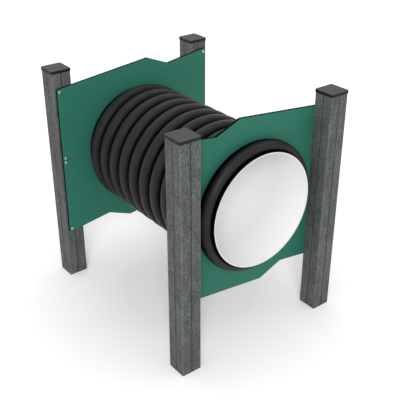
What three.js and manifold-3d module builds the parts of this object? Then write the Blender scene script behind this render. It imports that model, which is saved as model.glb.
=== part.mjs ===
import * as THREE from 'three';
import { mergeVertices } from 'three/addons/utils/BufferGeometryUtils.js';
import Module from 'manifold-3d';

const wasm = await Module();
wasm.setup();

// A crawl tunnel for a playground, in millimetres. +Z is up and the tunnel runs along Y, with its front
// mouth at -Y. The origin lies on the ground, under the middle of the tunnel. Left and right are as seen
// from the front.

// Ring-ribbed outer wall of the pipe: equal ribs with valleys between them. The inner ribs stand between the
// two walls, and an end rib stands against the outside of each wall.
const pipeCrestDiameter = 630;
const pipeWall = 3.5;
const pipeEndLength = 16.5;
const ribHeight = 39.5;
const ribWidth = 74;
const ribSideWall = 6;
const innerRibPitch = 86.5;
const innerRibCount = 10;
const innerRibsToWall = 15.5;
const wallFaceToEndRib = 4;
// A rib's outline is a superellipse: 2 is a half ellipse, and more is squarer
const ribRoundness = 2.2;
const ribOuterShares = [0, 0.03, 0.12, 0.3, 0.5, 0.7, 0.88, 0.97, 1];
const ribInnerShares = [0, 0.2, 0.8, 1];

// Smooth inner wall of the pipe, rolled out at both mouths over the cut end of the ribbed wall
const linerWall = 3.5;
const lipOverhang = 2;
const lipThickness = 3;

// Wall boards: two equal halves meet on a level seam at the height of the pipe's axis
const boardThickness = 13;
const boardBesidePipe = 132.5;
const boardAbovePipe = 115;
const boardAboveGround = 255;
const boardSeamGap = 0.6;
// The top edge from left to right: shares of half the width and of the half height
const boardTopShares = [[-1, 0.962], [-0.453, 0.879], [-0.167, 1], [1, 0.868]];

// Posts
const postSide = 100;
const postBesideBoard = 14;
const postAboveBoard = 18;
const postCornerRadius = 2;
const postGrooveWidth = 5;
const postGrooveDepth = 2.5;
const postGrooveFloorShare = 0.5;

// Post caps
const capHeight = 16;
const capOverhang = 3;
const capCornerRadius = 4;
const capEdgeBevel = 2;
const capSpigotSide = 30;
const capSpigotLength = 35;

// Button-head bolts, and the threaded inserts in the posts that take them
const boltDiameter = 8;
const boltLength = 40;
const boltTipChamfer = 1;
const boltHeadDiameter = 16;
const boltHeadHeight = 4.4;
const boltSocketAcross = 5;
const boltSocketDepth = 2.6;
const boltHeadShares = [[1, 0], [1, 0.25], [0.8, 0.75], [0.5, 1]];
const boltFromSide = 14;
const boltFromEdge = 17;
const boltFromSeam = 12;
const insertDiameter = 12;
const insertLength = 30;
const insertFlangeDiameter = 16;
const insertFlangeThickness = 1.5;

// Clearances
const seatGap = 0.3;
const boltHoleClearance = 0.6;
const pipeHoleClearance = 0.6;
const pipeHoleBevel = 12;
const cutOverrun = 5;

// Facets
const pipeSides = 32;
const boltSides = 12;
const socketSides = 6;
const cornerSteps = 2;

// Distances from the pipe's axis and from the tunnel's middle
const pipeValleyRadius = pipeCrestDiameter / 2 - ribHeight;
const wallInnerFace = innerRibCount * innerRibPitch / 2 + innerRibsToWall;
const wallOuterFace = wallInnerFace + boardThickness;
const endRibStart = wallInnerFace + wallFaceToEndRib;
const pipeHalfLength = endRibStart + ribWidth + pipeEndLength;
const boardHalfWidth = pipeCrestDiameter / 2 + boardBesidePipe;
const boardHalfHeight = pipeCrestDiameter / 2 + boardAbovePipe;
const postAcross = boardHalfWidth + postBesideBoard - postSide / 2;
const postAlong = wallOuterFace + seatGap + postSide / 2;

// Heights above the ground
const pipeAxisHeight = boardAboveGround + boardHalfHeight;
const postHeight = pipeAxisHeight + boardHalfHeight + postAboveBoard;

function material(color, roughness, metalness = 0) {
  return new THREE.MeshStandardMaterial({ color, roughness, metalness });
}

const materials = {
  post: material(0x6f7472, 0.9),
  cap: material(0x3a3b3c, 0.7),
  board: material(0x2c6e5b, 0.55),
  pipe: material(0x2a2a2b, 0.6),
  liner: material(0xe9e9e7, 0.45),
  steel: material(0xb9bcbc, 0.35, 1),
};

function solidOf(geometry) {
  const bare = geometry.clone();
  bare.deleteAttribute('normal');
  bare.deleteAttribute('uv');
  const merged = mergeVertices(bare);
  return new wasm.Manifold(new wasm.Mesh({
    numProp: 3,
    vertProperties: new Float32Array(merged.attributes.position.array),
    triVerts: new Uint32Array(merged.index.array),
  }));
}

function geometryOf(solid) {
  const { vertProperties, triVerts } = solid.getMesh();
  const geometry = new THREE.BufferGeometry();
  geometry.setAttribute('position', new THREE.BufferAttribute(vertProperties, 3));
  geometry.setIndex(new THREE.BufferAttribute(triVerts, 1));
  geometry.computeVertexNormals();
  return geometry;
}

function cut(geometry, cutters) {
  return geometryOf(cutters.reduce((solid, cutter) => solid.subtract(solidOf(cutter)), solidOf(geometry)));
}

function join(first, second) {
  return geometryOf(solidOf(first).add(solidOf(second)));
}

function named(name, geometry, finish, position) {
  const mesh = new THREE.Mesh(geometry, finish);
  mesh.name = name;
  mesh.position.copy(position);
  return mesh;
}

function point(x, y) {
  return new THREE.Vector2(x, y);
}

function lathe(points, sides) {
  return new THREE.LatheGeometry(points, sides);
}

// Points on an arc, ends included
function arc(centre, radius, from, to, steps) {
  return Array.from({ length: steps + 1 }, (_, i) => {
    const angle = from + (to - from) * i / steps;
    return point(centre.x + radius * Math.cos(angle), centre.y + radius * Math.sin(angle));
  });
}

function circle(centre, radius, sides) {
  return new THREE.Path(arc(centre, radius, 0, 2 * Math.PI, sides).slice(0, -1));
}

// A square with round corners
function roundSquare(side, radius) {
  const inset = side / 2 - radius;
  const points = [];
  for (let turn = 0; turn < 4; turn += 1) {
    const angle = turn * Math.PI / 2;
    const centre = point(inset, inset).rotateAround(point(0, 0), angle);
    points.push(...arc(centre, radius, angle, angle + Math.PI / 2, cornerSteps));
  }
  return new THREE.Shape(points);
}

// The post's section: round corners, and a groove down the middle of each face
function postSection() {
  const half = postSide / 2;
  const inset = half - postCornerRadius;
  const floor = postGrooveWidth * postGrooveFloorShare;
  const face = [
    point(half, -postGrooveWidth / 2),
    point(half - postGrooveDepth, -floor / 2),
    point(half - postGrooveDepth, floor / 2),
    point(half, postGrooveWidth / 2),
    ...arc(point(inset, inset), postCornerRadius, 0, Math.PI / 2, cornerSteps),
  ];
  const points = [];
  for (let turn = 0; turn < 4; turn += 1) {
    points.push(...face.map((p) => p.clone().rotateAround(point(0, 0), turn * Math.PI / 2)));
  }
  return new THREE.Shape(points);
}

// Top edge of the upper board: its height above the seam's middle at a distance x from the middle
const boardTop = boardTopShares.map(([x, z]) => point(x * boardHalfWidth, z * boardHalfHeight));

function boardTopAt(x) {
  const i = boardTop.findIndex((p, k) => k > 0 && x <= p.x);
  const [a, b] = [boardTop[i - 1], boardTop[i]];
  return a.y + (b.y - a.y) * (x - a.x) / (b.x - a.x);
}

// Bolts of the upper board, relative to the pipe's axis. The lower board has them point for point opposite.
const boltAcross = boardHalfWidth - boltFromSide;
const boltPlaces = [-boltAcross, boltAcross].flatMap((x) => [
  { level: 'top', at: point(x, boardTopAt(x) - boltFromEdge) },
  { level: 'seam', at: point(x, boltFromSeam) },
]);

// Where the ribs start, from the front mouth to the rear one
const ribStarts = [
  -endRibStart - ribWidth,
  ...Array.from({ length: innerRibCount }, (_, i) => (
    (i + 0.5 - innerRibCount / 2) * innerRibPitch - ribWidth / 2
  )),
  endRibStart,
];

// Point of a rib's outline at a share of its width: x is the radius, y the place along the axis. A rib
// stands on a valley of radius floor, and inset narrows it on both sides.
function ribPoint(start, share, floor = pipeValleyRadius, inset = 0) {
  const heightShare = (1 - Math.abs(2 * share - 1) ** ribRoundness) ** (1 / ribRoundness);
  return point(floor + ribHeight * heightShare, start + inset + share * (ribWidth - 2 * inset));
}

function pipeWallGeometry() {
  const bore = pipeValleyRadius - pipeWall;
  const end = pipeHalfLength - lipThickness - seatGap;
  const outside = ribStarts.flatMap((rib) => ribOuterShares.map((share) => ribPoint(rib, share)));
  const inside = ribStarts.flatMap((rib) => (
    ribInnerShares.map((share) => ribPoint(rib, share, bore, ribSideWall))
  ));
  const start = point(pipeValleyRadius, -end);
  return lathe([
    start,
    ...outside,
    point(pipeValleyRadius, end),
    point(bore, end),
    ...inside.toReversed(),
    point(bore, -end),
    start,
  ], pipeSides);
}

function linerGeometry() {
  const outer = pipeValleyRadius - pipeWall - seatGap;
  const bore = outer - linerWall;
  const lip = pipeValleyRadius + lipOverhang;
  const neck = pipeHalfLength - lipThickness;
  const halfOutline = [
    point(outer, neck),
    point(lip, neck),
    point(lip, pipeHalfLength),
    point(bore, pipeHalfLength),
  ];
  const otherHalf = halfOutline.map((p) => point(p.x, -p.y)).reverse();
  return lathe([...otherHalf, ...halfOutline, otherHalf[0]], pipeSides);
}

// Radius of a wall's hole at a distance from the tunnel's middle. The hole's outer edge lies against the
// flank of the end rib, so the two end ribs hold the pipe between the walls, and it narrows inwards.
function holeRadiusAt(along) {
  const seat = ribPoint(endRibStart, (wallOuterFace - endRibStart) / ribWidth).x + pipeHoleClearance;
  return seat - pipeHoleBevel * (wallOuterFace - along) / boardThickness;
}

// Upper board, around the pipe's axis, with its middle plane in XZ and its outer face on -Y
function boardGeometry() {
  const seam = boardSeamGap / 2;
  const outline = new THREE.Shape([
    point(-boardHalfWidth, seam),
    point(boardHalfWidth, seam),
    ...boardTop.toReversed(),
  ]);
  outline.holes = boltPlaces.map(({ at }) => circle(at, boltDiameter / 2 + boltHoleClearance, boltSides));
  const sheet = new THREE.ExtrudeGeometry(outline, { depth: boardThickness, bevelEnabled: false });
  sheet.translate(0, 0, -boardThickness / 2);
  sheet.rotateX(Math.PI / 2);
  const innerRadius = holeRadiusAt(wallInnerFace - cutOverrun);
  const outerRadius = holeRadiusAt(wallOuterFace + cutOverrun);
  const holeLength = boardThickness + 2 * cutOverrun;
  return cut(sheet, [new THREE.CylinderGeometry(innerRadius, outerRadius, holeLength, pipeSides)]);
}

// A bolt along Y: its head is on +Y, and the origin lies under the head
function boltGeometry() {
  const radius = boltDiameter / 2;
  const tip = -boltLength;
  const body = lathe([
    point(0, tip),
    point(radius - boltTipChamfer, tip),
    point(radius, tip + boltTipChamfer),
    point(radius, 0),
    ...boltHeadShares.map(([r, h]) => point(r * boltHeadDiameter / 2, h * boltHeadHeight)),
    point(0, boltHeadHeight),
  ], boltSides);
  const socketRadius = boltSocketAcross / Math.sqrt(3);
  const socketHeight = boltSocketDepth + cutOverrun;
  const socket = new THREE.CylinderGeometry(socketRadius, socketRadius, socketHeight, socketSides);
  socket.translate(0, boltHeadHeight - boltSocketDepth + socketHeight / 2, 0);
  return cut(body, [socket]);
}

// A threaded insert along Y: its flange is on +Y, and the origin lies on the flange's outer face
function insertGeometry() {
  const bore = boltDiameter / 2 + seatGap;
  const body = insertDiameter / 2;
  const flange = insertFlangeDiameter / 2;
  return lathe([
    point(bore, -insertLength),
    point(body, -insertLength),
    point(body, -insertFlangeThickness),
    point(flange, -insertFlangeThickness),
    point(flange, 0),
    point(bore, 0),
    point(bore, -insertLength),
  ], boltSides);
}

// Bores for one insert, in the post's face: the flange's recess and the deep hole
function insertBores(x, z, faceY) {
  const boltReach = boltLength - boardThickness - 2 * seatGap;
  const depth = Math.max(insertLength, boltReach) + 2 * seatGap;
  const recessDepth = insertFlangeThickness + 2 * seatGap;
  return [
    [insertDiameter / 2 + seatGap, depth],
    [insertFlangeDiameter / 2 + seatGap, recessDepth],
  ].map(([radius, deep]) => {
    const bore = new THREE.CylinderGeometry(radius, radius, deep + cutOverrun, boltSides);
    bore.translate(x, faceY + (cutOverrun - deep) / 2, z);
    return bore;
  });
}

// A post on the ground, with its inner face on +Y. places are those of the insert bores on that face.
function postGeometry(places) {
  const body = new THREE.ExtrudeGeometry(postSection(), { depth: postHeight, bevelEnabled: false });
  const socketSide = capSpigotSide + 2 * seatGap;
  const socketDepth = capSpigotLength + seatGap;
  const socket = new THREE.BoxGeometry(socketSide, socketSide, socketDepth + cutOverrun);
  socket.translate(0, 0, postHeight + (cutOverrun - socketDepth) / 2);
  return cut(body, [socket, ...places.flatMap((p) => insertBores(p.x, p.y, postSide / 2))]);
}

// A cap, with its underside at the origin and its spigot below
function capGeometry() {
  const side = postSide + 2 * capOverhang - 2 * capEdgeBevel;
  const top = new THREE.ExtrudeGeometry(roundSquare(side, capCornerRadius), {
    depth: capHeight - 2 * capEdgeBevel,
    bevelThickness: capEdgeBevel,
    bevelSize: capEdgeBevel,
    bevelSegments: 1,
  });
  top.translate(0, 0, capEdgeBevel);
  const spigot = new THREE.BoxGeometry(capSpigotSide, capSpigotSide, capSpigotLength + capHeight / 2);
  spigot.translate(0, 0, (capHeight / 2 - capSpigotLength) / 2);
  return join(top, spigot);
}

const board = boardGeometry();
const bolt = boltGeometry();
const insert = insertGeometry();
const cap = capGeometry();

// The four bolts of one post, from top to bottom, relative to the pipe's axis
function boltsAtSide(side) {
  const above = boltPlaces.filter(({ at }) => Math.sign(at.x) === side);
  const below = boltPlaces.filter(({ at }) => Math.sign(at.x) === -side);
  return [
    ...above.map(({ level, at }) => ({ name: level === 'top' ? 'top' : 'above_seam', at })),
    ...below.map(({ level, at }) => ({
      name: level === 'top' ? 'bottom' : 'below_seam',
      at: at.clone().negate(),
    })),
  ];
}

// One end of the tunnel as the front one: its outside is on -Y. sides names what stands on -X and on +X.
function tunnelEnd(end, sides) {
  const group = new THREE.Group();
  const axis = new THREE.Vector3(0, -(wallOuterFace - boardThickness / 2), pipeAxisHeight);
  const upper = named(`board_${end}_upper`, board, materials.board, axis);
  const lower = named(`board_${end}_lower`, board, materials.board, axis);
  lower.rotation.y = Math.PI;
  group.add(upper, lower);

  sides.forEach((sideName, i) => {
    const side = i === 0 ? -1 : 1;
    const postX = side * postAcross;
    const postY = -postAlong;
    const bolts = boltsAtSide(side);
    const places = bolts.map(({ at }) => point(at.x - postX, at.y + pipeAxisHeight));
    const place = `${end}_${sideName}`;
    const foot = new THREE.Vector3(postX, postY, 0);
    const top = new THREE.Vector3(postX, postY, postHeight + seatGap);
    group.add(named(`post_${place}`, postGeometry(places), materials.post, foot));
    group.add(named(`cap_${place}`, cap, materials.cap, top));
    for (const { name, at } of bolts) {
      const head = new THREE.Vector3(at.x, seatGap - wallInnerFace, pipeAxisHeight + at.y);
      const mouth = new THREE.Vector3(at.x, postY + postSide / 2 - seatGap, pipeAxisHeight + at.y);
      group.add(named(`bolt_${place}_${name}`, bolt, materials.steel, head));
      group.add(named(`insert_${place}_${name}`, insert, materials.steel, mouth));
    }
  });
  return group;
}

const tunnel = new THREE.Group();
const pipeAxis = new THREE.Vector3(0, 0, pipeAxisHeight);
tunnel.add(named('pipe_ribbed_wall', pipeWallGeometry(), materials.pipe, pipeAxis));
tunnel.add(named('pipe_inner_wall', linerGeometry(), materials.liner, pipeAxis));

const front = tunnelEnd('front', ['left', 'right']);
const rear = tunnelEnd('rear', ['right', 'left']);
rear.rotation.z = Math.PI;
tunnel.add(front, rear);

export default tunnel;
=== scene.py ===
import math

import bmesh
import bpy
from mathutils import Matrix, Vector


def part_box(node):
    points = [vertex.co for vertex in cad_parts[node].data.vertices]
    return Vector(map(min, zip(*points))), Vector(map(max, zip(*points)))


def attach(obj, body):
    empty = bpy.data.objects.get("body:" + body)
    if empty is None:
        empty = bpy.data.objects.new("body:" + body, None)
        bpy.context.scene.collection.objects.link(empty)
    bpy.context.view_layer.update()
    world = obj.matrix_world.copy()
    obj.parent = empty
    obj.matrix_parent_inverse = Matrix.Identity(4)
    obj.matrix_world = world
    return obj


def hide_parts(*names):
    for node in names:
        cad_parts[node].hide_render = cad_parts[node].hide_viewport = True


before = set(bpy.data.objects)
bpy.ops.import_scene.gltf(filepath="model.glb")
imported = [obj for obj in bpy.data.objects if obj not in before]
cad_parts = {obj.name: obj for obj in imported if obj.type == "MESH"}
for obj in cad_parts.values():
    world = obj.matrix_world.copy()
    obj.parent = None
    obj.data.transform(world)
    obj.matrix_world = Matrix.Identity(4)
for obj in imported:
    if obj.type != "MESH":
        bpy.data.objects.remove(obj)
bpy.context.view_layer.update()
scene = bpy.context.scene
print("frame loaded:", len(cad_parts), "nodes")

# A crawl tunnel for a playground: a ring-ribbed pipe through two board walls on four square posts.
# Sizes are in metres. The tunnel runs along Y with its front mouth at -Y.


# Camera, fitted to the posts, caps and mouth in the photograph
cameraLook = {
    "place": (-1.9804, -2.6521, 2.3025),
    "tilt": 61.53,  # degrees up from straight down
    "turn": -37.68,  # degrees round the upright axis
    "lens": 67.57,  # mm
    "sensor": 36.0,  # mm
}


def addCamera(look):
    data = bpy.data.cameras.new("camera")
    data.lens = look["lens"]
    data.sensor_width = look["sensor"]
    camera = bpy.data.objects.new("camera", data)
    camera.location = look["place"]
    camera.rotation_euler = (math.radians(look["tilt"]), 0, math.radians(look["turn"]))
    scene.collection.objects.link(camera)
    scene.camera = camera


addCamera(cameraLook)
scene.view_settings.view_transform = "Standard"
print("camera placed")


# Material helpers

def shaderOf(material):
    return material.node_tree.nodes["Principled BSDF"]


def plainMaterial(name, **values):
    # values are the shader's own sockets, written in camelCase
    sockets = {
        "baseColor": "Base Color",
        "roughness": "Roughness",
        "metallic": "Metallic",
        "specular": "Specular IOR Level",
    }
    material = bpy.data.materials.new(name)
    material.use_nodes = True
    shader = shaderOf(material)
    for key, value in values.items():
        shader.inputs[sockets[key]].default_value = (*value, 1) if key == "baseColor" else value
    return material


def noise(material, size, stretch=(1, 1, 1), detail=3, roughness=0.5):
    # size is the width of one spot; stretch makes spots longer along an axis
    tree = material.node_tree
    place = tree.nodes.new("ShaderNodeTexCoord")
    mapping = tree.nodes.new("ShaderNodeMapping")
    pattern = tree.nodes.new("ShaderNodeTexNoise")
    mapping.inputs["Scale"].default_value = [1 / (size * s) for s in stretch]
    pattern.inputs["Scale"].default_value = 1
    pattern.inputs["Detail"].default_value = detail
    pattern.inputs["Roughness"].default_value = roughness
    tree.links.new(place.outputs["Object"], mapping.inputs["Vector"])
    tree.links.new(mapping.outputs["Vector"], pattern.inputs["Vector"])
    return pattern.outputs["Fac"]


def ramp(material, factor, stops):
    # stops are (position, colour) pairs
    tree = material.node_tree
    node = tree.nodes.new("ShaderNodeValToRGB")
    while len(node.color_ramp.elements) < len(stops):
        node.color_ramp.elements.new(0.5)
    for element, (position, colour) in zip(node.color_ramp.elements, stops):
        element.position = position
        element.color = (*colour, 1)
    tree.links.new(factor, node.inputs["Fac"])
    return node.outputs["Color"]


def greyRamp(material, factor, stops):
    # stops are (position, grey value) pairs
    return ramp(material, factor, [(position, (value, value, value)) for position, value in stops])


def multiply(material, first, second):
    tree = material.node_tree
    node = tree.nodes.new("ShaderNodeMix")
    node.data_type = "RGBA"
    node.blend_type = "MULTIPLY"
    node.inputs["Factor"].default_value = 1
    tree.links.new(first, node.inputs["A"])
    tree.links.new(second, node.inputs["B"])
    return node.outputs["Result"]


def paint(material, colour, *shades):
    # the base colour is the colour times all the shades
    for shade in shades:
        colour = multiply(material, colour, shade)
    material.node_tree.links.new(colour, shaderOf(material).inputs["Base Color"])


def bump(material, height, depth, strength):
    tree = material.node_tree
    node = tree.nodes.new("ShaderNodeBump")
    node.inputs["Distance"].default_value = depth
    node.inputs["Strength"].default_value = strength
    tree.links.new(height, node.inputs["Height"])
    tree.links.new(node.outputs["Normal"], shaderOf(material).inputs["Normal"])


def calculate(owner, operation, *inputs):
    # owner is a material or a world, and inputs are sockets or plain numbers
    tree = owner.node_tree
    node = tree.nodes.new("ShaderNodeMath")
    node.operation = operation
    for socket, value in zip(node.inputs, inputs):
        if isinstance(value, bpy.types.NodeSocket):
            tree.links.new(value, socket)
        else:
            socket.default_value = value
    return node.outputs[0]


def between(material, value, low, high):
    # 0 below low, 1 above high and a straight rise between them
    node = material.node_tree.nodes.new("ShaderNodeMapRange")
    material.node_tree.links.new(value, node.inputs["Value"])
    node.inputs["From Min"].default_value = low
    node.inputs["From Max"].default_value = high
    return node.outputs["Result"]


def objectPlace(material):
    # X, Y and Z of the object's own coordinates
    place = material.node_tree.nodes.new("ShaderNodeTexCoord")
    parts = material.node_tree.nodes.new("ShaderNodeSeparateXYZ")
    material.node_tree.links.new(place.outputs["Object"], parts.inputs[0])
    return parts.outputs


def normalParts(material):
    # X, Y and Z of the direction in which the surface faces
    geometry = material.node_tree.nodes.new("ShaderNodeNewGeometry")
    parts = material.node_tree.nodes.new("ShaderNodeSeparateXYZ")
    material.node_tree.links.new(geometry.outputs["Normal"], parts.inputs[0])
    return parts.outputs


# Recycled plastic of the posts
compositeLook = {
    "specks": {"size": 0.007, "stretch": (1, 1, 1.4), "detail": 4, "roughness": 0.65},
    "speckColours": [
        (0.34, (0.050, 0.055, 0.053)),
        (0.5, (0.082, 0.089, 0.087)),
        (0.68, (0.150, 0.159, 0.155)),
    ],
    "streaks": {"size": 0.012, "stretch": (1, 1, 14), "detail": 2},
    "streakShades": [(0.35, 0.92), (0.65, 1.06)],
    # painted shade at 0 in a face's groove, and a painted highlight at 1 on its arrises
    "grooveShadeArrisHighlight": [(0.03, 0.55), (0.10, 1), (0.86, 1), (0.96, 1.35)],
    "blotches": {"size": 0.035, "stretch": (1, 1, 2)},
    "blotchShades": [(0.38, 0.84), (0.62, 1.15)],
    "roughness": 0.8,
    "specular": 0.3,
    "grainDepth": 0.0005,
    "grainStrength": 0.5,
}


def acrossFace(material):
    # 0 in the middle of a post's face and 1 at its arrises
    low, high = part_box("post_front_left")
    place = objectPlace(material)
    fromMiddle = [calculate(material, "ABSOLUTE", place[axis]) for axis in ("X", "Y")]
    return between(material, calculate(material, "MINIMUM", *fromMiddle), 0, (high.x - low.x) / 2)


def postComposite(look):
    # speckled, with a fine upright grain, painted shade in the grooves and a painted highlight on the
    # arrises
    material = plainMaterial(
        "speckled grey composite", roughness=look["roughness"], specular=look["specular"])
    specks = noise(material, **look["specks"])
    paint(
        material,
        ramp(material, specks, look["speckColours"]),
        greyRamp(material, noise(material, **look["streaks"]), look["streakShades"]),
        greyRamp(material, acrossFace(material), look["grooveShadeArrisHighlight"]),
        greyRamp(material, noise(material, **look["blotches"]), look["blotchShades"]))
    bump(material, specks, look["grainDepth"], look["grainStrength"])
    return material


# Laminate of the wall boards
laminateLook = {
    "patches": {"size": 0.18, "detail": 2},
    "greens": [(0.3, (0.0245, 0.144, 0.100)), (0.7, (0.0265, 0.153, 0.107))],
    "roughness": 0.5,
    "specular": 0.12,
    "texture": {"size": 0.0012},
    "textureDepth": 0.00008,
    "textureStrength": 0.4,
    "core": (0.003, 0.003, 0.003),
    "coreRoughness": 0.8,
    "coreSpecular": 0.05,
}


def boardFace(look):
    material = plainMaterial("green laminate", roughness=look["roughness"], specular=look["specular"])
    paint(material, ramp(material, noise(material, **look["patches"]), look["greens"]))
    bump(material, noise(material, **look["texture"]), look["textureDepth"], look["textureStrength"])
    return material


def boardCore(look):
    return plainMaterial(
        "black laminate core", baseColor=look["core"], roughness=look["coreRoughness"],
        specular=look["coreSpecular"])


# Outer wall of the pipe
pipeShape = {
    "innerRibs": 10,  # between the walls
    "innerRibPitch": 0.0865,
    "ribWidth": 0.074,
    "wallFaceToEndRib": 0.004,  # outwards from a wall's inner face
    "ribHeight": 0.0395,
    "ribRoundness": 2.2,  # 2 is a half ellipse, and more is squarer
    "ribSteps": 24,
    "wall": 0.0035,
    "ribSideWall": 0.006,
    "hollowSteps": 8,
    "segments": 160,
}

pipeLook = {
    # painted shade: black in the valleys, darker down the flanks and the plastic's grey on the crests, from
    # 0 in a valley to 1 on a crest
    "levelColours": [
        (0.3, (0.0008, 0.0008, 0.0008)),
        (0.6, (0.007, 0.007, 0.007)),
        (0.9, (0.0185, 0.0185, 0.018)),
    ],
    "roughness": 0.44,
    "specular": 0.14,
    # how much farther down the crest's colour reaches on the sides that face the mouths, so the painted
    # valley shade is less there
    "mouthRise": 2.8,
    # where the painted shade beside a wall's outer face starts to fade, and where it ends
    "wallShade": (0.011, 0.051),
    "dust": {"size": 0.05},
    "dustShades": [(0.35, 0.85), (0.65, 1.15)],
    "upwardHighlight": 0.45,  # painted highlight: how much lighter the sides that face straight up are
    "upwardHighlightFrom": 0.5,  # upward share of the facing direction from which the painted highlight starts
    "lines": {"size": 0.006, "stretch": (6, 1, 6), "detail": 2},
    "lineDepth": 0.0004,
    "lineStrength": 0.25,
}


def endRibStart(look):
    # on the rear half, counted from the tunnel's middle
    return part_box("board_rear_upper")[0].y + look["wallFaceToEndRib"]


def valleyRadius(look):
    low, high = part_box("pipe_ribbed_wall")
    return (high.x - low.x) / 2 - look["ribHeight"]


def axisDistance(material):
    # how far a place lies from the pipe's axis
    low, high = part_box("pipe_ribbed_wall")
    place = objectPlace(material)
    height = calculate(material, "SUBTRACT", place["Z"], (low.z + high.z) / 2)
    squares = [calculate(material, "MULTIPLY", value, value) for value in (place["X"], height)]
    return calculate(material, "SQRT", calculate(material, "ADD", *squares))


def ribLevel(material):
    # 0 in the pipe's valleys and 1 on its crests
    valley = valleyRadius(pipeShape)
    return between(material, axisDistance(material), valley, valley + pipeShape["ribHeight"])


def pipePlastic(look):
    # the plastic's grey on the crests and on the sides that face the mouths; painted shade makes it black
    # in the valleys and by the walls, and a painted highlight lightens the sides that face up
    material = plainMaterial("black pipe plastic", roughness=look["roughness"])
    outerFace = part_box("board_rear_upper")[1].y
    endCrest = endRibStart(pipeShape) + pipeShape["ribWidth"] / 2
    along = calculate(material, "ABSOLUTE", objectPlace(material)["Y"])
    facesMouth = calculate(material, "GREATER_THAN", along, endCrest)
    rise = calculate(material, "MULTIPLY_ADD", facesMouth, look["mouthRise"] - 1, 1)
    level = calculate(material, "MINIMUM", calculate(material, "MULTIPLY", ribLevel(material), rise), 1)
    # painted shade beside a wall's outer face, none inside the walls
    near, far = look["wallShade"]
    isInside = calculate(material, "LESS_THAN", along, outerFace)
    isPastShade = between(material, along, outerFace + near, outerFace + far)
    clear = calculate(material, "MAXIMUM", isPastShade, isInside)
    level = calculate(material, "MULTIPLY", level, clear)
    # a painted highlight on the sides that face up
    facesUp = between(material, normalParts(material)["Z"], look["upwardHighlightFrom"], 1)
    paint(
        material,
        ramp(material, level, look["levelColours"]),
        greyRamp(material, noise(material, **look["dust"]), look["dustShades"]),
        calculate(material, "MULTIPLY_ADD", facesUp, look["upwardHighlight"], 1))
    valleyLevel = look["levelColours"][0][0]
    shine = calculate(material, "MULTIPLY", between(material, level, valleyLevel, 1), look["specular"])
    material.node_tree.links.new(shine, shaderOf(material).inputs["Specular IOR Level"])
    bump(material, noise(material, **look["lines"]), look["lineDepth"], look["lineStrength"])
    return material


# Smooth inner wall of the pipe
linerLook = {
    # distances inwards from the mouth, and the white there; the grey lip and the grey band some way in are
    # painted shade, and the whiter plastic deeper in is painted light
    "whites": [(0.0032, 0.72), (0.004, 0.89), (0.22, 0.82), (0.5, 0.95)],
    "weldWidth": 0.003,
    "weldShade": 0.02,
    "roughness": 0.6,
    "specular": 0.2,
}


def linerPlastic(look):
    # white, with painted shade on the lip and some way in and painted light deeper in, and black around the
    # lips where the outer wall is welded on
    material = plainMaterial("white bore plastic", roughness=look["roughness"], specular=look["specular"])
    low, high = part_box("pipe_inner_wall")
    along = calculate(material, "ABSOLUTE", objectPlace(material)["Y"])
    inward = calculate(material, "SUBTRACT", high.y, along)
    farthest = look["whites"][-1][0]
    stops = [(distance / farthest, white) for distance, white in look["whites"]]
    weldRadius = (high.x - low.x) / 2 - look["weldWidth"]
    isWeld = calculate(material, "GREATER_THAN", axisDistance(material), weldRadius)
    paint(
        material,
        greyRamp(material, calculate(material, "DIVIDE", inward, farthest), stops),
        calculate(material, "MULTIPLY_ADD", isWeld, look["weldShade"] - 1, 1))
    return material


# Moulded plastic of the caps
capLook = {
    # black sides, paler edges as a painted highlight, and the top's grey, by the upward share of the facing
    # direction
    "colours": [
        (0.25, (0.010, 0.010, 0.010)),
        (0.6, (0.095, 0.095, 0.095)),
        (0.9, (0.095, 0.095, 0.095)),
        (0.99, (0.070, 0.070, 0.071)),
    ],
    "roughness": 0.6,
    "specular": 0.2,
    "grain": {"size": 0.0015},
    "grainDepth": 0.0002,
    "grainStrength": 0.4,
}


def capPlastic(look):
    # black sides and a grey top by facing direction, with a painted highlight making the rounded edges
    # between them paler
    material = plainMaterial("dark cap plastic", roughness=look["roughness"], specular=look["specular"])
    paint(material, ramp(material, normalParts(material)["Z"], look["colours"]))
    bump(material, noise(material, **look["grain"]), look["grainDepth"], look["grainStrength"])
    return material


# Steel of the bolts and inserts
steelLook = {
    # the slight green tint of the steel is a painted reflection of the green boards
    "steel": (0.50, 0.54, 0.53),
    "roughness": 0.38,
}


def boltSteel(look):
    return plainMaterial("bolt steel", baseColor=look["steel"], roughness=look["roughness"], metallic=1)


finishes = {
    "post": postComposite(compositeLook),
    "boardFace": boardFace(laminateLook),
    "boardCore": boardCore(laminateLook),
    "pipe": pipePlastic(pipeLook),
    "liner": linerPlastic(linerLook),
    "cap": capPlastic(capLook),
    "steel": boltSteel(steelLook),
}
print("materials made:", len(finishes))


# Mesh helpers

def newMesh(name, vertices, faces):
    mesh = bpy.data.meshes.new(name)
    mesh.from_pydata(vertices, [], faces)
    mesh.update()
    return mesh


def shownObject(name, mesh, sharpAngle=40):
    mesh.shade_smooth()
    mesh.set_sharp_from_angle(angle=math.radians(sharpAngle))
    shown = bpy.data.objects.new(name, mesh)
    scene.collection.objects.link(shown)
    return shown


def turned(name, profile, segments, closed=True):
    # profile is a list of (radius, along) places, turned round the Y axis
    # a radius can also be a function of the angle
    vertices = []
    faces = []
    count = len(profile)
    for i in range(segments):
        angle = 2 * math.pi * i / segments
        for radius, along in profile:
            reach = radius(angle) if callable(radius) else radius
            vertices.append((reach * math.cos(angle), along, reach * math.sin(angle)))
        here = i * count
        ahead = (i + 1) % segments * count
        for k in range(count if closed else count - 1):
            after = (k + 1) % count
            faces.append((here + k, here + after, ahead + after, ahead + k))
    if not closed:
        # a flat face across the profile's first and last place
        faces.append([i * count for i in range(segments)])
        faces.append([i * count + count - 1 for i in reversed(range(segments))])
    return newMesh(name, vertices, faces)


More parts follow.
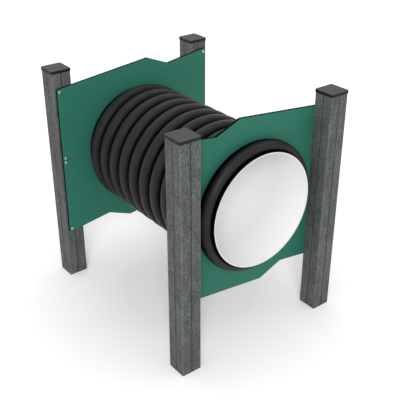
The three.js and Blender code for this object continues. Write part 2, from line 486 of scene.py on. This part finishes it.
def arcPoints(centre, radius, start, end, steps):
    # angles in degrees, ends included
    points = []
    for i in range(steps + 1):
        angle = math.radians(start + (end - start) * i / steps)
        points.append((centre[0] + radius * math.cos(angle), centre[1] + radius * math.sin(angle)))
    return points


def fourSides(points):
    # a closed outline from the points of one side and its corner
    turns = [Matrix.Rotation(math.radians(90 * quarter), 2) for quarter in range(4)]
    return [tuple(turn @ Vector(point)) for turn in turns for point in points]


def evaluatedMesh(holder):
    # what the object shows once its curve or modifiers are worked out
    return bpy.data.meshes.new_from_object(holder.evaluated_get(bpy.context.evaluated_depsgraph_get()))


def slab(name, outline, depth, roundEdge, edgeSteps=2):
    # a plate in XY, centred on Z
    curve = bpy.data.curves.new(name, "CURVE")
    curve.dimensions = "2D"
    curve.fill_mode = "BOTH"
    curve.extrude = depth / 2 - roundEdge
    curve.bevel_depth = roundEdge
    curve.bevel_resolution = edgeSteps
    curve.offset = -roundEdge
    spline = curve.splines.new("POLY")
    spline.points.add(len(outline) - 1)
    for point, (x, y) in zip(spline.points, outline):
        point.co = (x, y, 0, 1)
    spline.use_cyclic_u = True
    holder = bpy.data.objects.new(name, curve)
    scene.collection.objects.link(holder)
    mesh = evaluatedMesh(holder)
    bpy.data.objects.remove(holder)
    bpy.data.curves.remove(curve)
    mesh.name = name
    return mesh


def turnAbout(point, axis, degrees):
    turn = Matrix.Rotation(math.radians(degrees), 4, axis)
    return Matrix.Translation(point) @ turn @ Matrix.Translation(-point)


def finishPiece(piece, slotName, *nodes):
    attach(piece, "root")
    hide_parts(*nodes)


corners = [f"{end}_{side}" for end in ("front", "rear") for side in ("left", "right")]


# Posts
postShape = {
    "cornerRadius": 0.002,
    "cornerSteps": 4,
    "grooveWidth": 0.005,
    "grooveDepth": 0.0025,
    "grooveFloor": 0.0024,
    "sawnEdge": 0.0008,
    "sawnEdgeSteps": 1,
    "sharpAngle": 35,
}


def postOutline(side, look):
    half = side / 2
    inset = half - look["cornerRadius"]
    face = [
        (half, -look["grooveWidth"] / 2),
        (half - look["grooveDepth"], -look["grooveFloor"] / 2),
        (half - look["grooveDepth"], look["grooveFloor"] / 2),
        (half, look["grooveWidth"] / 2),
    ]
    return fourSides(face + arcPoints((inset, inset), look["cornerRadius"], 0, 90, look["cornerSteps"]))


def addPosts(look):
    # one post, stood at each corner with another face to the front
    low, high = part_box("post_front_left")
    size = high - low
    outline = postOutline(size.x, look)
    mesh = slab("composite_post", outline, size.z, look["sawnEdge"], look["sawnEdgeSteps"])
    mesh.materials.append(finishes["post"])
    for turns, corner in enumerate(corners):
        low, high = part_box(f"post_{corner}")
        post = shownObject(f"composite_post_{corner}", mesh, look["sharpAngle"])
        post.location = (low + high) / 2
        post.rotation_euler.z = math.radians(90 * turns)
        finishPiece(post, "post_composite", f"post_{corner}")


addPosts(postShape)
print("posts built:", len(corners))


# Post caps
capShape = {
    "height": 0.016,
    "cornerRadius": 0.006,
    "cornerSteps": 6,
    "edgeRadius": 0.0022,
    "edgeSteps": 3,
    "spigotSide": 0.030,
    "spigotEdge": 0.001,
    "spigotSteps": 2,
    "sharpAngle": 50,
}


def squareOutline(side, radius, steps):
    inset = side / 2 - radius
    return fourSides(arcPoints((inset, inset), radius, 0, 90, steps))


def joined(name, meshes):
    bm = bmesh.new()
    for mesh in meshes:
        bm.from_mesh(mesh)
    whole = bpy.data.meshes.new(name)
    bm.to_mesh(whole)
    bm.free()
    return whole


def capMesh(look):
    # the origin lies in the middle of the top face
    low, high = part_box("cap_front_left")
    plateOutline = squareOutline(high.x - low.x, look["cornerRadius"], look["cornerSteps"])
    plate = slab("cap plate", plateOutline, look["height"], look["edgeRadius"], look["edgeSteps"])
    plate.transform(Matrix.Translation((0, 0, -look["height"] / 2)))
    spigotTop = -look["height"] / 2
    spigotEnd = low.z - high.z
    spigotOutline = squareOutline(look["spigotSide"], look["spigotEdge"], look["spigotSteps"])
    spigotLength = spigotTop - spigotEnd
    spigot = slab("cap spigot", spigotOutline, spigotLength, look["spigotEdge"], look["spigotSteps"])
    spigot.transform(Matrix.Translation((0, 0, (spigotTop + spigotEnd) / 2)))
    mesh = joined("moulded_cap", [plate, spigot])
    mesh.materials.append(finishes["cap"])
    return mesh


def addCaps(look):
    mesh = capMesh(look)
    for corner in corners:
        low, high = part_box(f"cap_{corner}")
        cap = shownObject(f"moulded_cap_{corner}", mesh, look["sharpAngle"])
        cap.location = ((low.x + high.x) / 2, (low.y + high.y) / 2, high.z)
        finishPiece(cap, "cap_plastic", f"cap_{corner}")


addCaps(capShape)
print("caps built:", len(corners))


# The pipe: ribbed outer wall, shaped by pipeShape above, and smooth bore

def ribStarts(look):
    # where each rib starts, from the front end to the rear end
    end = endRibStart(look)
    first = -(look["innerRibs"] - 1) / 2 * look["innerRibPitch"] - look["ribWidth"] / 2
    inner = [first + i * look["innerRibPitch"] for i in range(look["innerRibs"])]
    return [-end - look["ribWidth"], *inner, end]


def ribOffset(share, look):
    # how far a rib stands out at a share of its width
    power = look["ribRoundness"]
    return look["ribHeight"] * max(0, 1 - abs(2 * share - 1) ** power) ** (1 / power)


def ribbedLine(look, floor, sideWall, steps):
    # all ribs on a wall of radius floor, each one narrower by sideWall on both sides
    width = look["ribWidth"] - 2 * sideWall
    line = []
    for start in ribStarts(look):
        for step in range(steps + 1):
            # closer steps near the valleys, where the rib turns fastest
            share = (1 - math.cos(math.pi * step / steps)) / 2
            line.append((floor + ribOffset(share, look), start + sideWall + share * width))
    return line


def addPipe(look):
    low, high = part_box("pipe_ribbed_wall")
    half = (high.y - low.y) / 2
    valley = valleyRadius(look)
    bore = valley - look["wall"]
    outerRibs = ribbedLine(look, valley, 0, look["ribSteps"])
    hollows = ribbedLine(look, bore, look["ribSideWall"], look["hollowSteps"])
    outside = [(valley, -half), *outerRibs, (valley, half)]
    inside = [(bore, -half), *hollows, (bore, half)]
    mesh = turned("ribbed_pipe_wall", outside + inside[::-1], look["segments"])
    mesh.transform(Matrix.Translation((low + high) / 2))
    mesh.materials.append(finishes["pipe"])
    finishPiece(shownObject(mesh.name, mesh), "pipe_plastic", "pipe_ribbed_wall")


linerShape = {
    "wall": 0.0035,
    "lipThickness": 0.003,
    "lipSteps": 4,
    "gap": 0.0003,  # to the outer wall
    "segments": 160,
}


def addLiner(look):
    low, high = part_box("pipe_inner_wall")
    lip = (high.x - low.x) / 2
    half = (high.y - low.y) / 2
    outer = valleyRadius(pipeShape) - pipeShape["wall"] - look["gap"]
    bore = outer - look["wall"]
    bead = look["lipThickness"] / 2
    neck = half - look["lipThickness"]
    mouth = [(outer, neck), (lip - bead, neck)]
    mouth += arcPoints((lip - bead, half - bead), bead, -90, 90, look["lipSteps"])[1:]
    mouth += arcPoints((bore + bead * 2, half - bead * 2), bead * 2, 90, 180, look["lipSteps"])
    otherMouth = [(radius, -along) for radius, along in reversed(mouth)]
    mesh = turned("smooth_bore_wall", otherMouth + mouth, look["segments"])
    mesh.transform(Matrix.Translation((low + high) / 2))
    mesh.materials.append(finishes["liner"])
    finishPiece(shownObject(mesh.name, mesh), "liner_plastic", "pipe_inner_wall")


addPipe(pipeShape)
addLiner(linerShape)
print("pipe built:", len(ribStarts(pipeShape)), "ribs")


# Wall boards: four half boards of one shape
boardShape = {
    # top edge from left to right, as shares of half the width and of the height over the pipe's axis
    "topEdge": [(-1, 0.962), (-0.453, 0.879), (-0.167, 1), (1, 0.868)],
    "cornerRadius": 0.003,
    "cornerSteps": 3,
    "edgeRadius": 0.0003,
    "holeClearance": 0.0006,
    "holeBevel": 0.012,  # how much narrower the hole is at the inner face
    "holeSegments": 160,
    "broadFrom": 0.8,  # share of the facing direction along Y from which a face is laminate
    "sharpAngle": 35,
}

upright = Matrix.Rotation(math.radians(90), 4, "X")  # stands a flat plate on its lower edge


def roundCorners(points, radius, steps):
    # rounds each corner of a closed outline
    outline = []
    for i, point in enumerate(points):
        here = Vector(point)
        back = (Vector(points[i - 1]) - here).normalized()
        ahead = (Vector(points[(i + 1) % len(points)]) - here).normalized()
        for step in range(steps + 1):
            t = step / steps
            near = here + back * radius
            far = here + ahead * radius
            # a quadratic curve through the corner
            outline.append(tuple(near * (1 - t) ** 2 + here * 2 * t * (1 - t) + far * t ** 2))
    return outline


def boardHoleRadii(look):
    # at the board's outer face, against the end rib's flank, and at its inner one
    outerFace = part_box("board_rear_upper")[1].y
    share = (outerFace - endRibStart(pipeShape)) / pipeShape["ribWidth"]
    outer = valleyRadius(pipeShape) + ribOffset(share, pipeShape) + look["holeClearance"]
    return outer, outer - look["holeBevel"]


def holeCutter(depth, look):
    # a cone along Y, wide end at -Y, that runs one board's depth past both faces
    outer, inner = boardHoleRadii(look)
    slope = (outer - inner) / depth
    bm = bmesh.new()
    bmesh.ops.create_cone(
        bm, cap_ends=True, segments=look["holeSegments"], depth=3 * depth,
        radius1=inner - slope * depth, radius2=outer + slope * depth)
    bm.transform(upright)
    mesh = bpy.data.meshes.new("hole cutter")
    bm.to_mesh(mesh)
    bm.free()
    return mesh


def cutAway(mesh, cutterMesh):
    holders = [bpy.data.objects.new(m.name, m) for m in (mesh, cutterMesh)]
    for holder in holders:
        scene.collection.objects.link(holder)
    cut = holders[0].modifiers.new("hole", "BOOLEAN")
    cut.operation = "DIFFERENCE"
    cut.solver = "EXACT"
    cut.object = holders[1]
    result = evaluatedMesh(holders[0])
    for holder in holders:
        bpy.data.objects.remove(holder)
    return result


def paintBoard(mesh, look):
    # laminate on the two broad faces, black core on the edges
    mesh.materials.append(finishes["boardFace"])
    mesh.materials.append(finishes["boardCore"])
    for face in mesh.polygons:
        face.material_index = 0 if abs(face.normal.y) > look["broadFrom"] else 1


def boardMesh(look):
    # the upper half of the front wall
    low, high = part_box("board_front_upper")
    pipeLow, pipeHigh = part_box("pipe_ribbed_wall")
    axisHeight = (pipeLow.z + pipeHigh.z) / 2
    halfWidth = (high.x - low.x) / 2
    height = high.z - axisHeight
    seam = low.z - axisHeight
    depth = high.y - low.y
    top = [(x * halfWidth, z * height) for x, z in reversed(look["topEdge"])]
    points = [(-halfWidth, seam), (halfWidth, seam), *top]
    outline = roundCorners(points, look["cornerRadius"], look["cornerSteps"])
    mesh = slab("board plate", outline, depth, look["edgeRadius"])
    mesh.transform(upright)
    mesh = cutAway(mesh, holeCutter(depth, look))
    mesh.transform(Matrix.Translation((0, (low.y + high.y) / 2, axisHeight)))
    paintBoard(mesh, look)
    return mesh


def addBoards(look):
    # a lower half is the upper one turned about the pipe, and the rear wall is the front one turned round
    pipeLow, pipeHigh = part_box("pipe_ribbed_wall")
    axis = (pipeLow + pipeHigh) / 2
    plate = boardMesh(look)
    for end, aboutZ in (("front", 0), ("rear", 180)):
        for half, aboutY in (("upper", 0), ("lower", 180)):
            mesh = plate.copy()
            mesh.name = f"laminate_board_{end}_{half}"
            mesh.transform(turnAbout(axis, "Y", aboutY))
            mesh.transform(turnAbout(axis, "Z", aboutZ))
            board = shownObject(mesh.name, mesh, look["sharpAngle"])
            finishPiece(board, "board_laminate", f"board_{end}_{half}")


addBoards(boardShape)
print("boards built: 4")


# Button-head bolts and their inserts
boltShape = {
    "shankRadius": 0.004,
    "tipCentre": 0.0004,  # radius of the flat facet in the middle of the tip
    "tipChamfer": 0.001,
    "headHeight": 0.0044,
    "headChamfer": 0.0003,  # under the head
    "rimShare": 0.22,  # height of the head's straight rim, as a share
    "flatShare": 0.5,  # radius of the head's flat top, as a share
    "socketAcross": 0.005,
    "socketDepth": 0.0026,
    "domeSteps": 6,
    "segments": 48,
    "sharpAngle": 30,
}


def hexRadius(angle, across):
    # from the middle of a hexagon to its side, in the direction of angle
    sector = math.radians(60)
    return across / 2 / math.cos((angle + sector / 2) % sector - sector / 2)


def boltMesh(look):
    # the head is on +Y, and the origin lies under the head
    low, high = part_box("bolt_front_left_top")
    head = (high.x - low.x) / 2
    height = look["headHeight"]
    length = high.y - low.y - height
    shank = look["shankRadius"]
    rim = height * look["rimShare"]
    flat = head * look["flatShare"]
    profile = [
        (look["tipCentre"], -length),
        (shank - look["tipChamfer"], -length),
        (shank, look["tipChamfer"] - length),
        (shank, 0),
        (head - look["headChamfer"], 0),
        (head, look["headChamfer"]),
    ]
    for step in range(look["domeSteps"] + 1):
        angle = math.radians(90 * step / look["domeSteps"])
        profile.append((flat + (head - flat) * math.cos(angle), rim + (height - rim) * math.sin(angle)))

    def socket(angle):
        return hexRadius(angle, look["socketAcross"])

    profile += [(socket, height), (socket, height - look["socketDepth"])]
    mesh = turned("button_bolt", profile, look["segments"], closed=False)
    mesh.materials.append(finishes["steel"])
    return mesh


def addBolts(look):
    mesh = boltMesh(look)
    names = sorted(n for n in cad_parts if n.startswith("bolt_"))
    for name in names:
        low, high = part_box(name)
        isFront = name.startswith("bolt_front")
        bolt = shownObject(name.replace("bolt_", "button_bolt_"), mesh, look["sharpAngle"])
        underHead = high.y - look["headHeight"] if isFront else low.y + look["headHeight"]
        bolt.location = ((low.x + high.x) / 2, underHead, (low.z + high.z) / 2)
        bolt.rotation_euler.z = 0 if isFront else math.pi
        finishPiece(bolt, "bolt_steel", name)
    return len(names)


def finishInserts():
    names = [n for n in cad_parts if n.startswith("insert_")]
    for name in names:
        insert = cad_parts[name]
        insert.data.materials.clear()
        insert.data.materials.append(finishes["steel"])
    return len(names)


print("bolts built:", addBolts(boltShape))
print("inserts finished:", finishInserts())


# Floor, backdrop and light
stageLook = {
    "floorSize": 60,
    "floorColour": (0.93, 0.93, 0.93),
    # light that the camera sees added to the floor, by the tunnel and away from it; 1 is plain white. The
    # smaller glow by the tunnel is a painted shadow under it
    "floorGlow": (0.06, 0.225),
    # distances from the tunnel's middle between which the glow rises
    "glowReach": (0.35, 0.95),
    "ambient": 0.75,
    "backdrop": 1,
    "keyFrom": (-0.54, -0.70, 0.48),
    "keySpread": 18,  # degrees
    "keyStrength": 1.57,
}


def seenDirectly(owner):
    # 1 where the camera, a mirror or glass sees the surface, else 0
    rays = owner.node_tree.nodes.new("ShaderNodeLightPath").outputs
    seen = calculate(owner, "MAXIMUM", rays["Is Camera Ray"], rays["Is Glossy Ray"])
    return calculate(owner, "MAXIMUM", seen, rays["Is Transmission Ray"])


def whiteFloor(look):
    # matt white that glows where it is seen directly, less by the tunnel as a painted shadow
    material = plainMaterial("white floor", baseColor=look["floorColour"], roughness=1, specular=0)
    tree = material.node_tree
    matt = shaderOf(material).outputs["BSDF"]
    place = tree.nodes.new("ShaderNodeTexCoord")
    distance = tree.nodes.new("ShaderNodeVectorMath")
    distance.operation = "LENGTH"
    tree.links.new(place.outputs["Object"], distance.inputs[0])
    nearGlow, farGlow = look["floorGlow"]
    away = between(material, distance.outputs["Value"], *look["glowReach"])
    strength = calculate(material, "MULTIPLY_ADD", away, farGlow - nearGlow, nearGlow)
    glow = tree.nodes.new("ShaderNodeEmission")
    tree.links.new(strength, glow.inputs["Strength"])
    both = tree.nodes.new("ShaderNodeAddShader")
    tree.links.new(matt, both.inputs[0])
    tree.links.new(glow.outputs["Emission"], both.inputs[1])
    mix = tree.nodes.new("ShaderNodeMixShader")
    tree.links.new(seenDirectly(material), mix.inputs[0])
    tree.links.new(matt, mix.inputs[1])
    tree.links.new(both.outputs["Shader"], mix.inputs[2])
    tree.links.new(mix.outputs["Shader"], tree.nodes["Material Output"].inputs["Surface"])
    return material


def addFloor(look):
    half = look["floorSize"] / 2
    places = [(-half, -half, 0), (half, -half, 0), (half, half, 0), (-half, half, 0)]
    floor = shownObject("floor", newMesh("floor", places, [(0, 1, 2, 3)]))
    floor.data.materials.append(whiteFloor(look))


def addWorld(look):
    # the tunnel is lit by the ambient light, and the camera sees the backdrop
    world = bpy.data.worlds.new("studio")
    scene.world = world
    world.use_nodes = True
    tree = world.node_tree
    ambient = tree.nodes["Background"]
    backdrop = tree.nodes.new("ShaderNodeBackground")
    for background, strength in ((ambient, look["ambient"]), (backdrop, look["backdrop"])):
        background.inputs["Color"].default_value = (1, 1, 1, 1)
        background.inputs["Strength"].default_value = strength
    mix = tree.nodes.new("ShaderNodeMixShader")
    tree.links.new(seenDirectly(world), mix.inputs[0])
    tree.links.new(ambient.outputs["Background"], mix.inputs[1])
    tree.links.new(backdrop.outputs["Background"], mix.inputs[2])
    tree.links.new(mix.outputs["Shader"], tree.nodes["World Output"].inputs["Surface"])


def addKeyLight(look):
    data = bpy.data.lights.new("key light", "SUN")
    data.energy = look["keyStrength"]
    data.angle = math.radians(look["keySpread"])
    lamp = bpy.data.objects.new("key light", data)
    lamp.rotation_euler = Vector(look["keyFrom"]).to_track_quat("Z", "Y").to_euler()
    scene.collection.objects.link(lamp)


addFloor(stageLook)
addWorld(stageLook)
addKeyLight(stageLook)
print("stage lit")
